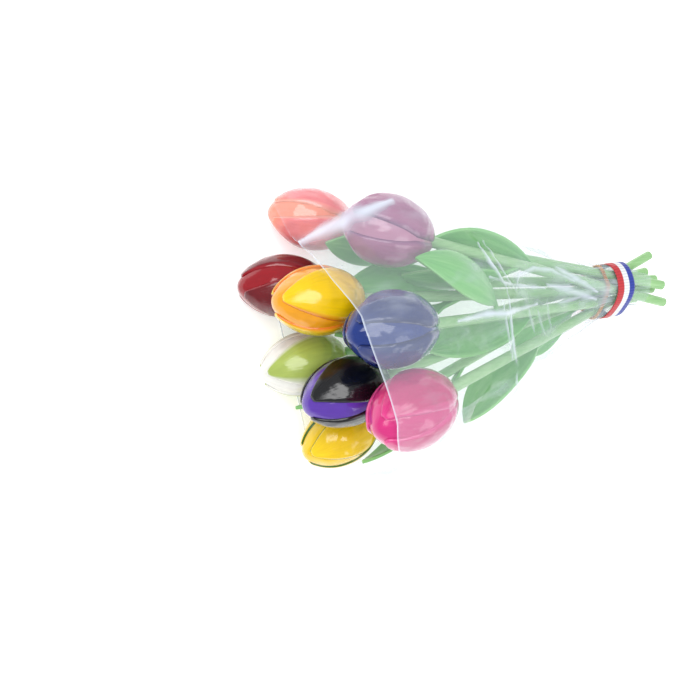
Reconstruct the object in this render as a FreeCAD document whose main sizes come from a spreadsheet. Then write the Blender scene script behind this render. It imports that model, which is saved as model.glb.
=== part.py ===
import FreeCAD, Part
import math
import os
import Sketcher
from FreeCAD import Placement, Rotation, Vector

# A bunch of nine painted wooden tulips: turned and carved heads on dowel stems with carved
# leaves, held by a rubber band, rolled in a clear film and tied with a ribbon. The bunch lies
# on a table with its heads towards -X and its stem ends towards +X, +Z up. Millimetres.
# It is laid out about the middle of the tie and moved at the end, so that the origin is under
# the middle of the whole object, on the table.

# Sizes of the kinds of piece, each named once.
SIZES = {
    # head: an egg of three arcs, over the petals, with the wood between them one step lower
    "head_length": 40.0,
    "head_width": 27.5,
    "head_foot_radius": 11.0,
    "head_tip_radius": 6.5,
    "petal_rise": 0.8,
    # outline of a raised petal: its foot, its widest half and its point
    "petal_foot_half": 7.5,
    "petal_half_width": 11.4,
    "petal_length": 38.5,
    # stem
    "stem_diameter": 4.4,
    "stem_chamfer": 0.5,
    "bore_depth": 12.0,
    "glue_gap": 0.08,
    # leaf: a blade bent along its length and hollowed across, on a straight root in a saw cut
    "leaf_width": 19.0,
    "leaf_thickness": 1.4,
    "leaf_cup_radius": 22.0,
    "leaf_root_width": 3.4,
    "leaf_root_length": 9.0,
    "leaf_root_depth": 1.2,
    "leaf_margin": 1.0,
    # rubber band, ribbon and film about the stems
    "band_width": 1.8,
    "band_thickness": 1.2,
    "band_setback": 9.5,
    "ribbon_width": 10.0,
    "ribbon_thickness": 0.5,
    "wrap_gap": 0.2,
    "film_thickness": 0.5,
    "tie_gap": 0.4,
    "film_gap": 1.0,
    "film_length": 158.0,
    "film_skirt": 16.0,
    "film_gather": 1.2,
    "film_flat": 0.6,
    "film_ear_out": 8.0,
    "film_ear_back": 128.0,
    "film_ear_half": 42.0,
    # how far each stem passes its neighbours by at the tie, as in a spiral bunch
    "spiral_lever": 27.5,
    # cuts run past what they cut by this
    "overrun": 2.0,
}

# Angles in degrees, counts, and shares of a size.
RATIOS = {
    "leaf_widest_share": 0.58,
    "lying_back": 0.42,
    "lying_over": -0.75,
    "film_overlap": 0.6,
    "petal_count": 3,
    "petal_flats": 5,
    "petal_groove": 4.0,
    "head_levels": 10,
    "film_rows": 17,
    "film_crowding": 1.35,
    "film_points": 36,
    "film_folds": 9,
    "belt_sides": 30,
}

# How far the film's mouth reaches at even steps round it, from the side of the first head over
# the top, as shares of the film's length.
MOUTH = (1.04, 1.02, 1.00, 0.97, 0.89, 0.98, 1.00, 1.02)

# Each tulip: the way it points (sideways and upwards), how far its head's foot is from the tie,
# how far its stem runs on behind the tie, how its hand-carved head compares with the size
# above, and how the head is turned on its stem.
TULIP_COLUMNS = ("yaw", "pitch", "reach", "tail", "head_share", "turn")
TULIPS = {
    "salmon": (15.5, -4.0, 132.0, 26.0, 0.90, 30.0),
    "lilac": (15.0, 9.5, 114.0, 33.0, 1.00, 10.0),
    "red": (5.5, -2.0, 142.5, 27.0, 0.93, 50.0),
    "orange": (4.0, 7.5, 140.0, 30.0, 0.95, -20.0),
    "white": (-5.5, -0.5, 138.5, 28.0, 0.93, -25.0),
    "blue": (0.5, 17.5, 127.5, 24.0, 1.02, 20.0),
    "black": (-8.5, 9.5, 136.0, 31.0, 0.96, 0.0),
    "magenta": (-10.5, 20.5, 130.5, 26.0, 1.02, 15.0),
    "yellow": (-17.0, 1.5, 134.0, 41.0, 0.90, -30.0),
}

# Each leaf: its stem, where it leaves that stem, measured from the tie towards the head, its
# length, the side of the stem that it is on (0 is the upper side), its lean away from the stem,
# its bend back towards the stem (less than 0 is away from it), and its twist in the saw cut.
LEAF_COLUMNS = ("start", "length", "side", "lean", "bend", "twist")
LEAVES = {
    "leaf_salmon": ("salmon", 95.0, 53.0, -53.0, 31.0, 42.0, 0.0),
    "leaf_lilac": ("lilac", 48.0, 63.0, 140.0, 12.0, 24.0, 0.0),
    "leaf_lilac_inner": ("lilac", 64.0, 56.0, -105.0, 28.0, 39.0, 37.0),
    "leaf_red": ("red", 78.0, 63.0, -11.0, 12.0, 6.0, 0.0),
    "leaf_orange": ("orange", 92.0, 59.0, -118.0, 23.0, 24.0, 0.0),
    "leaf_white": ("white", 95.0, 72.0, -95.0, 28.0, 36.0, 0.0),
    "leaf_blue": ("blue", 87.0, 53.0, 51.0, 44.0, 67.0, -42.0),
    "leaf_blue_inner": ("blue", 54.0, 61.0, -147.0, 19.0, 5.0, 0.0),
    "leaf_black": ("black", 12.0, 48.0, -143.0, 20.0, 13.0, -47.0),
    "leaf_magenta": ("magenta", 52.0, 57.0, -142.0, 21.0, -20.0, 27.0),
    "leaf_yellow": ("yellow", 86.0, 65.0, -89.0, 29.0, 39.0, 0.0),
}

os.makedirs("parts", exist_ok=True)
doc = FreeCAD.newDocument("wooden_tulips")
sheet = doc.addObject("Spreadsheet::Sheet", "sizes")


def fill_sheet():
    """Write every named size, angle and count into the sheet, one row each."""
    rows = dict(SIZES)
    rows.update(RATIOS)
    for tulip, numbers in TULIPS.items():
        rows.update({f"{tulip}_{column}": number for column, number in zip(TULIP_COLUMNS, numbers)})
    for name, (_, *numbers) in LEAVES.items():
        rows.update({f"{name}_{column}": number for column, number in zip(LEAF_COLUMNS, numbers)})
    rows.update({f"film_mouth_{index}": share for index, share in enumerate(MOUTH)})
    for row, (alias, value) in enumerate(rows.items(), start=1):
        sheet.set(f"A{row}", alias)
        sheet.set(f"B{row}", str(value))
        sheet.setAlias(f"B{row}", alias)
    doc.recompute()


def value(alias):
    return float(sheet.get(alias))


def solve(gap, low, high):
    """Where the rising function `gap` crosses zero."""
    for _ in range(60):
        middle = (low + high) / 2
        if gap(middle) < 0:
            low = middle
        else:
            high = middle
    return (low + high) / 2


def arc(centre_x, centre_y, radius, start, end):
    circle = Part.Circle(Vector(centre_x, centre_y, 0), Vector(0, 0, 1), radius)
    return Part.ArcOfCircle(circle, start, end)


def bind(sketch, kind, places, start_value, expression):
    """Add a dimension to a sketch and tie it to the sheet."""
    index = sketch.addConstraint(Sketcher.Constraint(kind, *places, start_value))
    sketch.setExpression(f"Constraints[{index}]", expression)


def upright_line(sketch, arc_index, x, y, length, expression):
    """A guide line beside an arc: it sets how far out the arc's belly reaches."""
    guide = sketch.addGeometry(Part.LineSegment(Vector(x, y, 0), Vector(x, y + length, 0)), True)
    sketch.addConstraint(Sketcher.Constraint("Vertical", guide))
    sketch.addConstraint(Sketcher.Constraint("Horizontal", arc_index, 3, guide, 1))
    sketch.addConstraint(Sketcher.Constraint("Tangent", arc_index, guide))
    bind(sketch, "DistanceY", (guide, 1, guide, 2), length, "sizes.overrun")
    bind(sketch, "DistanceX", (-1, 1, guide, 1), x, expression)


# Heads.
def egg(tulip, inset):
    """The head's turned form, `inset` inside the petals' outer faces: an egg of three arcs.
    Gives its radius at a height above the foot."""
    share = value(f"{tulip}_head_share")
    foot = value("head_foot_radius") * share - inset
    tip = value("head_tip_radius") * share - inset
    length = value("head_length") * share - 2 * inset
    half = value("head_width") * share / 2 - inset

    def rise(end_radius, side):
        return math.sqrt((half - end_radius) * (2 * side - end_radius - half))

    between_ends = length - foot - tip
    side = solve(lambda radius: rise(foot, radius) + rise(tip, radius) - between_ends, half, 50 * half)
    middle = foot + rise(foot, side)
    foot_end = foot + foot * math.sin(math.atan2(foot - middle, side - half))
    tip_start = length - tip + tip * math.sin(math.atan2(length - tip - middle, side - half))

    def radius(height):
        place = height - inset
        if place < foot_end:
            return math.sqrt(foot ** 2 - (foot - place) ** 2)
        if place > tip_start:
            return math.sqrt(tip ** 2 - (place - length + tip) ** 2)
        return half - side + math.sqrt(side ** 2 - (place - middle) ** 2)

    return radius


def petal(tulip):
    """A pointed oval, seen from the side of the head. Gives its half width at a height."""
    share = value(f"{tulip}_head_share")
    foot = value("petal_foot_half") * share
    half = value("petal_half_width") * share
    length = value("petal_length") * share

    def arc_radius(x, rise):
        return ((half - x) ** 2 + rise ** 2) / (2 * (half - x))

    middle = solve(lambda height: arc_radius(foot, height) - arc_radius(0, length - height), 0, length)
    side = arc_radius(foot, middle)

    def half_width(height):
        return max(0.0, half - side + math.sqrt(side ** 2 - (height - middle) ** 2))

    return half_width


def solid(triangles):
    """A solid from triangles that face outwards."""
    faces = [Part.Face(Part.makePolygon([*corners, corners[0]])) for corners in triangles]
    return Part.Solid(Part.makeShell(faces))


def between(lower, upper):
    """Triangles between two closed rows of points, anticlockwise seen from above."""
    found = []
    for first, second, third, fourth in zip(lower, lower[1:] + lower[:1], upper[1:] + upper[:1], upper):
        found.append((first, second, third))
        found.append((first, third, fourth))
    return found


def head(tulip):
    """Head carved in narrow flats: raised petals with the wood between them one step lower, and
    a blind bore for the stem. Its foot is at the origin."""
    share = value(f"{tulip}_head_share")
    rise = value("petal_rise")
    skin = egg(tulip, 0.0)
    core = egg(tulip, rise)
    petal_half = petal(tulip)
    length = value("head_length") * share
    count = int(value("petal_count"))
    flats = int(value("petal_flats"))
    levels = int(value("head_levels"))
    sector = 2 * math.pi / count
    widest = (sector - math.radians(value("petal_groove"))) / 2
    narrowest = math.radians(value("petal_groove")) / 2

    def point(angle, radius, height):
        return Vector(radius * math.cos(angle), radius * math.sin(angle), height)

    rows = []
    for level in range(1, levels):
        height = rise + (length - 2 * rise) * (1 - math.cos(math.pi * level / levels)) / 2
        reach = math.asin(min(1.0, petal_half(height) / skin(height)))
        half_angle = max(narrowest, min(widest, reach))
        row = []
        for index in range(count):
            middle = sector * index - math.pi / 2
            for flat in range(flats + 1):
                row.append(point(middle + half_angle * (2 * flat / flats - 1), skin(height), height))
            for angle in (half_angle, sector / 2, sector - half_angle):
                row.append(point(middle + angle, core(height), height))
        rows.append(row)
    foot = [Vector(0, 0, 0)] * len(rows[0])
    top = [Vector(0, 0, length - rise)] * len(rows[0])
    triangles = [corners[1:] + corners[:1] for corners in between(foot, rows[0])[1::2]]
    for lower, upper in zip(rows, rows[1:]):
        triangles += between(lower, upper)
    triangles += between(rows[-1], top)[::2]
    carved = doc.addObject("Part::Feature", f"carved_{tulip}")
    carved.Shape = solid(triangles)
    bore = doc.addObject("Part::Cylinder", f"bore_{tulip}")
    bore.setExpression("Radius", "sizes.stem_diameter / 2 + sizes.glue_gap")
    bore.setExpression("Height", "sizes.bore_depth + sizes.overrun")
    bore.setExpression("Placement.Base.z", "-sizes.overrun")
    finished = doc.addObject("Part::Cut", f"head_{tulip}")
    finished.Base = carved
    finished.Tool = bore
    return finished


# Stems and leaves.
def origin_plane(body, role):
    return next(item for item in body.Origin.OriginFeatures if item.Role == role)


def leaf_seat(leaf):
    """Where a leaf's root sits, in the frame of its stem, whose +Z runs from its end to the head."""
    side = math.radians(value(f"{leaf}_side"))
    lean = math.radians(value(f"{leaf}_lean"))
    twist = math.radians(value(f"{leaf}_twist"))
    up = Vector(0, 0, 1)
    out = Vector(math.cos(side), math.sin(side), 0)
    along = up * math.cos(lean) + out * math.sin(lean)
    back = out * math.cos(lean) - up * math.sin(lean)
    across = back.cross(along)
    level = across * math.cos(twist) + back * math.sin(twist)
    back = back * math.cos(twist) - across * math.sin(twist)
    height = value(f"{LEAVES[leaf][0]}_tail") + value(f"{leaf}_start")
    root = out * (value("stem_diameter") / 2 - value("leaf_root_depth")) + up * height
    return Placement(root, Rotation(along, level, back, "XYZ"))


def stem(tulip):
    """Dowel from its free end at the origin into the head, with a saw cut for each leaf."""
    body = doc.addObject("PartDesign::Body", f"stem_{tulip}")
    dowel = body.newObject("PartDesign::AdditiveCylinder", f"dowel_{tulip}")
    dowel.setExpression("Radius", "sizes.stem_diameter / 2")
    dowel.setExpression("Height", f"sizes.{tulip}_tail + sizes.{tulip}_reach + sizes.bore_depth")
    # the two round edges; the one between them is the seam
    chamfer = body.newObject("PartDesign::Chamfer", f"ends_{tulip}")
    chamfer.Base = (dowel, ["Edge1", "Edge3"])
    chamfer.setExpression("Size", "sizes.stem_chamfer")
    for leaf in [name for name, values in LEAVES.items() if values[0] == tulip]:
        cut = body.newObject("PartDesign::SubtractiveBox", f"saw_cut_{leaf}")
        cut.setExpression("Length", "sizes.leaf_root_length + sizes.overrun")
        cut.setExpression("Width", "sizes.leaf_root_width + 2 * sizes.glue_gap")
        cut.setExpression("Height", "sizes.leaf_thickness + 2 * sizes.glue_gap")
        corner = Vector(
            -value("glue_gap"),
            -value("leaf_root_width") / 2 - value("glue_gap"),
            -value("leaf_thickness") / 2 - value("glue_gap"),
        )
        cut.Placement = leaf_seat(leaf) * Placement(corner, Rotation())
    return body


def leaf_section(body, leaf):
    """The hollowed section of the blank that the leaf is cut from, at the end of its root."""
    half = value("leaf_width") / 2 + value("leaf_margin")
    cup = value("leaf_cup_radius")
    thick = value("leaf_thickness")
    bend = value(f"{leaf}_bend")
    turn_radius = (value(f"{leaf}_length") - value("leaf_root_length")) / math.radians(bend)
    sketch = body.newObject("Sketcher::SketchObject", f"section_{leaf}")
    sketch.AttachmentSupport = (origin_plane(body, "YZ_Plane"), [""])
    sketch.MapMode = "FlatFace"
    sketch.setExpression("AttachmentOffset.Base.z", "sizes.leaf_root_length")
    # four flats along the outer side and four along the hollow
    radii = (cup + thick / 2, cup - thick / 2)
    ends = []
    for radius in radii:
        slope = math.asin(half / radius)
        points = [
            Vector(radius * math.sin(slope * part / 2), radius * math.cos(slope * part / 2) - cup, 0)
            for part in (2, 1, 0, -1, -2)
        ]
        for first, second in zip(points, points[1:]):
            sketch.addGeometry(Part.LineSegment(first, second))
        ends.append(points)
    sketch.addGeometry(Part.LineSegment(ends[0][0], ends[1][0]))
    sketch.addGeometry(Part.LineSegment(ends[0][-1], ends[1][-1]))
    for radius in radii:
        sketch.addGeometry(Part.Circle(Vector(0, -cup, 0), Vector(0, 0, 1), radius), True)
    for first, circle in ((0, 10), (4, 11)):
        for constraint in (
            ("Coincident", first, 2, first + 1, 1), ("Coincident", first + 1, 2, first + 2, 1),
            ("Coincident", first + 2, 2, first + 3, 1), ("PointOnObject", first, 1, circle),
            ("PointOnObject", first, 2, circle), ("PointOnObject", first + 1, 2, circle),
            ("PointOnObject", first + 1, 2, -2), ("Equal", first, first + 1),
            ("Symmetric", first, 1, first + 3, 2, -2), ("Symmetric", first, 2, first + 2, 2, -2),
        ):
            sketch.addConstraint(Sketcher.Constraint(*constraint))
    for constraint in (
        ("Coincident", 10, 3, 11, 3), ("PointOnObject", 10, 3, -2),
        ("Coincident", 0, 1, 8, 1), ("Coincident", 8, 2, 4, 1), ("Vertical", 8),
        ("Coincident", 3, 2, 9, 1), ("Coincident", 9, 2, 7, 2),
    ):
        sketch.addConstraint(Sketcher.Constraint(*constraint))
    bind(sketch, "DistanceY", (10, 3, -1, 1), cup, "sizes.leaf_cup_radius")
    bind(sketch, "Radius", (10,), radii[0], "sizes.leaf_cup_radius + sizes.leaf_thickness / 2")
    bind(sketch, "Radius", (11,), radii[1], "sizes.leaf_cup_radius - sizes.leaf_thickness / 2")
    bind(sketch, "DistanceX", (-1, 1, 0, 1), half, "sizes.leaf_width / 2 + sizes.leaf_margin")
    # the line that the blade is bent about, below the blank, or above it for a leaf bent away
    axis = sketch.addGeometry(
        Part.LineSegment(Vector(-half, -turn_radius, 0), Vector(half, -turn_radius, 0)), True
    )
    sketch.addConstraint(Sketcher.Constraint("Horizontal", axis))
    bind(sketch, "DistanceX", (axis, 1, -1, 1), half, "sizes.leaf_width / 2 + sizes.leaf_margin")
    bind(sketch, "DistanceX", (-1, 1, axis, 2), half, "sizes.leaf_width / 2 + sizes.leaf_margin")
    radius_words = f"(sizes.{leaf}_length - sizes.leaf_root_length) * 180 / pi / abs(sizes.{leaf}_bend)"
    places = (axis, 1, -1, 1) if bend > 0 else (-1, 1, axis, 1)
    bind(sketch, "DistanceY", places, abs(turn_radius), radius_words)
    return sketch


def leaf_outline(body, leaf):
    """A frame whose hole is the leaf seen from above: root, widest place and point."""
    root = value("leaf_root_width") / 2
    start = value("leaf_root_length")
    half = value("leaf_width") / 2
    bend = math.radians(abs(value(f"{leaf}_bend")))
    reach = (value(f"{leaf}_length") - start) * math.sin(bend) / bend
    widest = start + value("leaf_widest_share") * reach
    point = start + reach
    margin = value("leaf_margin") + value("overrun")
    lower = ((widest - start) ** 2 + (half - root) ** 2) / (2 * (half - root))
    upper = (reach + start - widest) ** 2 / (2 * half) + half / 2

    sketch = body.newObject("Sketcher::SketchObject", f"outline_{leaf}")
    sketch.AttachmentSupport = (origin_plane(body, "XY_Plane"), [""])
    sketch.MapMode = "FlatFace"
    quarter = math.pi / 2
    lower_angle = math.asin((widest - start) / lower)
    upper_angle = math.asin((point - widest) / upper)
    sketch.addGeometry(arc(widest, half - upper, upper, quarter - upper_angle, quarter))
    sketch.addGeometry(arc(widest, half - lower, lower, quarter, quarter + lower_angle))
    sketch.addGeometry(arc(widest, lower - half, lower, -quarter - lower_angle, -quarter))
    sketch.addGeometry(arc(widest, upper - half, upper, -quarter, -quarter + upper_angle))
    root_corners = [Vector(start, root, 0), Vector(0, root, 0), Vector(0, -root, 0), Vector(start, -root, 0)]
    for first, second in zip(root_corners, root_corners[1:]):
        sketch.addGeometry(Part.LineSegment(first, second))
    frame = [
        Vector(-margin, -half - margin, 0), Vector(point + margin, -half - margin, 0),
        Vector(point + margin, half + margin, 0), Vector(-margin, half + margin, 0),
    ]
    for first, second in zip(frame, frame[1:] + frame[:1]):
        sketch.addGeometry(Part.LineSegment(first, second))
    for constraint in (
        ("Coincident", 0, 2, 1, 1), ("Coincident", 1, 2, 4, 1), ("Coincident", 4, 2, 5, 1),
        ("Coincident", 5, 2, 6, 1), ("Coincident", 6, 2, 2, 1), ("Coincident", 2, 2, 3, 1),
        ("Coincident", 3, 2, 0, 1), ("PointOnObject", 0, 1, -1),
        ("Vertical", 0, 3, 0, 2), ("Vertical", 1, 3, 0, 2),
        ("Vertical", 2, 3, 2, 2), ("Vertical", 3, 3, 2, 2),
        ("Symmetric", 0, 2, 2, 2, -1), ("Symmetric", 4, 1, 6, 2, -1), ("Symmetric", 4, 2, 5, 2, -1),
        ("Horizontal", 4), ("PointOnObject", 4, 2, -2),
        ("Coincident", 7, 2, 8, 1), ("Coincident", 8, 2, 9, 1), ("Coincident", 9, 2, 10, 1),
        ("Coincident", 10, 2, 7, 1), ("Horizontal", 7), ("Vertical", 8), ("Horizontal", 9), ("Vertical", 10),
    ):
        sketch.addConstraint(Sketcher.Constraint(*constraint))
    reach_words = (
        f"(sizes.{leaf}_length - sizes.leaf_root_length) * 180 / pi / abs(sizes.{leaf}_bend)"
        f" * sin(abs(sizes.{leaf}_bend))"
    )
    edge_words = "sizes.leaf_margin + sizes.overrun"
    bind(sketch, "DistanceX", (-1, 1, 0, 1), point, f"sizes.leaf_root_length + {reach_words}")
    widest_words = f"sizes.leaf_root_length + sizes.leaf_widest_share * {reach_words}"
    bind(sketch, "DistanceX", (-1, 1, 0, 2), widest, widest_words)
    bind(sketch, "DistanceY", (-1, 1, 0, 2), half, "sizes.leaf_width / 2")
    bind(sketch, "DistanceX", (-1, 1, 4, 1), start, "sizes.leaf_root_length")
    bind(sketch, "DistanceY", (-1, 1, 4, 1), root, "sizes.leaf_root_width / 2")
    bind(sketch, "DistanceX", (10, 2, -1, 1), margin, edge_words)
    bind(sketch, "DistanceX", (0, 1, 8, 1), margin, edge_words)
    bind(sketch, "DistanceY", (7, 1, -1, 1), half + margin, f"sizes.leaf_width / 2 + {edge_words}")
    bind(sketch, "DistanceY", (-1, 1, 9, 1), half + margin, f"sizes.leaf_width / 2 + {edge_words}")
    return sketch


def leaf(name):
    """Carved leaf: a bent, hollowed blank cut to a pointed paddle. Its root end is the origin."""
    body = doc.addObject("PartDesign::Body", name)
    section = leaf_section(body, name)
    root = body.newObject("PartDesign::Pad", f"root_{name}")
    root.Profile = section
    root.setExpression("Length", "sizes.leaf_root_length")
    root.Reversed = True
    blade = body.newObject("PartDesign::Revolution", f"blade_{name}")
    blade.Profile = section
    blade.ReferenceAxis = (section, ["Axis0"])
    blade.setExpression("Angle", f"abs(sizes.{name}_bend)")
    blade.Reversed = value(f"{name}_bend") < 0
    trim = body.newObject("PartDesign::Pocket", f"trim_{name}")
    trim.Profile = leaf_outline(body, name)
    trim.Type = "ThroughAll"
    trim.SideType = "Symmetric"
    return body


# The bunch.
def stem_lines():
    """For each tulip, its point at the tie and its direction. In a spiral bunch a stem that
    leans one way passes the middle on the side a quarter turn round, so that none cross."""
    names = list(TULIPS)
    slopes = {
        name: (math.tan(math.radians(value(f"{name}_yaw"))), math.tan(math.radians(value(f"{name}_pitch"))))
        for name in names
    }
    lever = value("spiral_lever")
    places = {name: Vector(0, -lever * slopes[name][1], lever * slopes[name][0]) for name in names}
    middle = sum(places.values(), Vector()) * (1 / len(names))
    return {
        name: (places[name] - middle, Vector(-1, slopes[name][0], slopes[name][1]).normalize())
        for name in names
    }


def stem_placement(tulip, line):
    """The stem's frame: +Z along it to the head, +X its upper side, origin at its free end."""
    place, direction = line
    side = direction.cross(Vector(0, 0, 1)).normalize()
    upper = side.cross(direction)
    return Placement(place - direction * value(f"{tulip}_tail"), Rotation(upper, side, direction, "ZXY"))


def hull(points):
    """Convex outline, anticlockwise, of points (y, z)."""
    points = sorted(set(points))
    chains = []
    for ordered in (points, points[::-1]):
        chain = []
        for point in ordered:
            while len(chain) > 1 and (
                (chain[-1][0] - chain[-2][0]) * (point[1] - chain[-2][1])
                <= (chain[-1][1] - chain[-2][1]) * (point[0] - chain[-2][0])
            ):
                chain.pop()
            chain.append(point)
        chains.append(chain[:-1])
    return chains[0] + chains[1]


def edges(shape):
    """The edges of the shape's triangles, each as two points (x, y, z) with the lower x first."""
    points, triangles = shape.tessellate(value("film_gap") / 2)
    points = [tuple(point) for point in points]
    pairs = {(points[first], points[second]) for one, two, three in triangles
             for first, second in ((one, two), (two, three), (three, one))}
    return {pair for pair in pairs if pair[0][0] < pair[1][0]}


def cut_points(meshes, x):
    """Points (y, z) where the plane at x cuts the edges."""
    points = []
    for mesh in meshes:
        for low, high in mesh:
            if low[0] < x <= high[0]:
                share = (x - low[0]) / (high[0] - low[0])
                points.append((low[1] + share * (high[1] - low[1]), low[2] + share * (high[2] - low[2])))
    return points


def polygon(points, gap):
    """Even-sided outline drawn tight round points (y, z), `gap` off them."""
    sides = int(value("belt_sides"))
    step = 2 * math.pi / sides
    far = [
        gap + max(y * math.cos(index * step) + z * math.sin(index * step) for y, z in points)
        for index in range(sides)
    ]
    corners = []
    for index in range(sides):
        first = index * step
        second = first + step
        one = far[index]
        two = far[(index + 1) % sides]
        y = (one * math.sin(second) - two * math.sin(first)) / math.sin(step)
        z = (two * math.cos(first) - one * math.cos(second)) / math.sin(step)
        corners.append((y, z))
    return corners


def belt(meshes, first, last, gap, thickness):
    """A flat band round the pieces between two places along X, a gap off them."""
    points = [point for x in (first, (first + last) / 2, last) for point in cut_points(meshes, x)]
    faces = []
    for distance in (gap + thickness, gap):
        corners = [Vector(first, y, z) for y, z in polygon(points, distance)]
        faces.append(Part.Face(Part.makePolygon(corners + corners[:1])))
    return faces[0].cut(faces[1]).extrude(Vector(last - first, 0, 0))


def ring_points(outline, gap, ripple, centre):
    """Points round a convex outline, at least `gap` outside it, at even angles about the centre;
    the ripple adds shallow folds."""
    count = int(value("film_points"))
    folds = int(value("film_folds"))
    step = 2 * math.pi / count
    turns = [2 * math.pi * index / (4 * count) for index in range(4 * count)]
    loop = []
    for turn in turns:
        y, z = max(outline, key=lambda point: point[0] * math.cos(turn) + point[1] * math.sin(turn))
        loop.append((y + gap * math.cos(turn) - centre[0], z + gap * math.sin(turn) - centre[1]))

    def distance(angle):
        """How far the outline is from the centre in one direction."""
        across = (-math.sin(angle), math.cos(angle))
        far = 0.0
        for first, second in zip(loop, loop[1:] + loop[:1]):
            start = first[0] * across[0] + first[1] * across[1]
            end = second[0] * across[0] + second[1] * across[1]
            if (start < 0) != (end < 0):
                share = start / (start - end)
                y = first[0] + share * (second[0] - first[0])
                z = first[1] + share * (second[1] - first[1])
                far = max(far, y * math.cos(angle) + z * math.sin(angle))
        return far

    corners = [distance(index * step) for index in range(count)]
    # how much a straight side between two corners would cut into the outline
    missing = []
    for index, (one, two) in enumerate(zip(corners, corners[1:] + corners[:1])):
        middle = 2 * one * two * math.cos(step / 2) / (one + two)
        missing.append(max(0.0, distance((index + 0.5) * step) - middle))
    ring = []
    for index, far in enumerate(corners):
        angle = index * step
        far += max(missing[index], missing[index - 1])
        far += ripple * (1 + math.cos(folds * angle)) / 2
        ring.append((centre[0] + far * math.cos(angle), centre[1] + far * math.sin(angle)))
    return ring


def mouth_share(index, count):
    """How far the mouth reaches at one of `count` even steps round it, as a share."""
    place = len(MOUTH) * index / count
    before = int(place)
    shares = [value(f"film_mouth_{step % len(MOUTH)}") for step in (before, before + 1)]
    return shares[0] + (shares[1] - shares[0]) * (place - before)


def film(contents):
    """Clear film rolled round everything that it holds: gathered at the tie, open at the heads,
    with an uneven mouth, a loose ear on the low side and a flat underside that it lies on."""
    rows = int(value("film_rows"))
    count = int(value("film_points"))
    skirt = value("film_skirt")
    length = value("film_length")
    thickness = value("film_thickness")
    up = lying().inverted() * Vector(0, 0, 1)
    shares = [mouth_share(index, count) for index in range(count)]
    # closer together towards the tie, where the form changes fastest
    steps = [(row / (rows - 1)) ** value("film_crowding") for row in range(rows)]
    stations = [skirt - (skirt + length * max(shares)) * step for step in steps]
    corners = [point for mesh in contents for pair in mesh for point in pair]
    side = min(y for x, y, z in corners)
    lowest = min(up.dot(Vector(*point)) for point in corners if point[0] < -length / 2)
    floor = lowest - value("film_gap") - thickness + value("film_flat")

    def table(x, y, level):
        """How high the plane `level` above the table's direction is at a place."""
        return (level - x * up.x - y * up.y) / up.z

    outlines = []
    middles = []
    ends = [stations[0] + value("overrun")] + stations + [stations[-1] - value("overrun")]
    overlap = value("film_overlap")
    held = []
    for before, x, after in zip(ends, stations, ends[2:]):
        before = x + overlap * (before - x)
        after = x + overlap * (after - x)
        near = [[pair for pair in mesh if pair[0][0] < before and pair[1][0] >= after] for mesh in contents]
        points = cut_points(near, before) + cut_points(near, after)
        corners = [corner for mesh in near for pair in mesh for corner in pair]
        points += [(y, z) for x_point, y, z in corners if after <= x_point <= before]
        # past its contents the film keeps the form that it had round them
        points = points or held
        held = points
        middles.append([(min(values) + max(values)) / 2 for values in zip(*points)])
        ear = math.cos(math.pi / 2 * min(1.0, abs(x + value("film_ear_back")) / value("film_ear_half")))
        if ear > value("film_flat") / length:
            edge = min(y for y, z in points)
            edge += (side - value("film_ear_out") - edge) * ear
            points.append((edge, table(x, edge, lowest)))
        outlines.append(hull(points))
    inside = []
    outside = []
    for x, outline in zip(stations, outlines):
        # the folds run out from a straight line through the tie and the middle of the mouth
        share = (x - stations[0]) / (stations[-1] - stations[0])
        centre = [one + (two - one) * share for one, two in zip(middles[0], middles[-1])]
        # close to the stems at the tie and looser towards the heads
        slack = value("tie_gap") + (value("film_gap") - value("tie_gap")) * min(1.0, abs(x) / length)
        # pressed flat under the ribbon, folded beside it, and smooth again towards the mouth
        fold = value("film_gather") * min(1.0, abs(x) / skirt) * min(1.0, max(0.0, 1 + 2 * x / length))
        inside.append(ring_points(outline, slack, fold, centre))
        outside.append(ring_points(outline, slack + thickness, fold, centre))

    def sheet_point(rings, row, index, level):
        """A point of the film, which lies flat where it would reach below `level`."""
        x = skirt - (skirt + length * shares[index]) * steps[row]
        after = next(place for place in range(1, rows) if stations[place] <= x or place == rows - 1)
        share = (stations[after - 1] - x) / (stations[after - 1] - stations[after])
        y, z = [
            one + (two - one) * share
            for one, two in zip(rings[after - 1][index], rings[after][index])
        ]
        return Vector(x, y, max(z, table(x, y, level)))

    def skin(rings, level):
        """One side of the film, row by row."""
        return [[sheet_point(rings, row, index, level) for index in range(count)] for row in range(rows)]

    outer = skin(outside, floor)
    inner = skin(inside, floor + thickness)
    triangles = []
    for lower, upper in zip(outer, outer[1:]):
        triangles += between(upper, lower)
    # the inner side is split along the same diagonals, so that the wall keeps its thickness
    for lower, upper in zip(inner, inner[1:]):
        triangles += [(third, second, first) for first, second, third in between(upper, lower)]
    triangles += between(outer[0], inner[0])
    triangles += between(inner[-1], outer[-1])
    return solid(triangles).removeSplitter()


def lying():
    """How the bunch is turned when it lies on the table: on its film and on its ribbon."""
    back = Rotation(Vector(0, 1, 0), value("lying_back"))
    over = Rotation(Vector(1, 0, 0), value("lying_over"))
    return over * back


def feature(name, shape):
    """A piece whose form follows the stems or the whole bunch."""
    piece = doc.addObject("Part::Feature", name)
    piece.Shape = shape
    return piece


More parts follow.
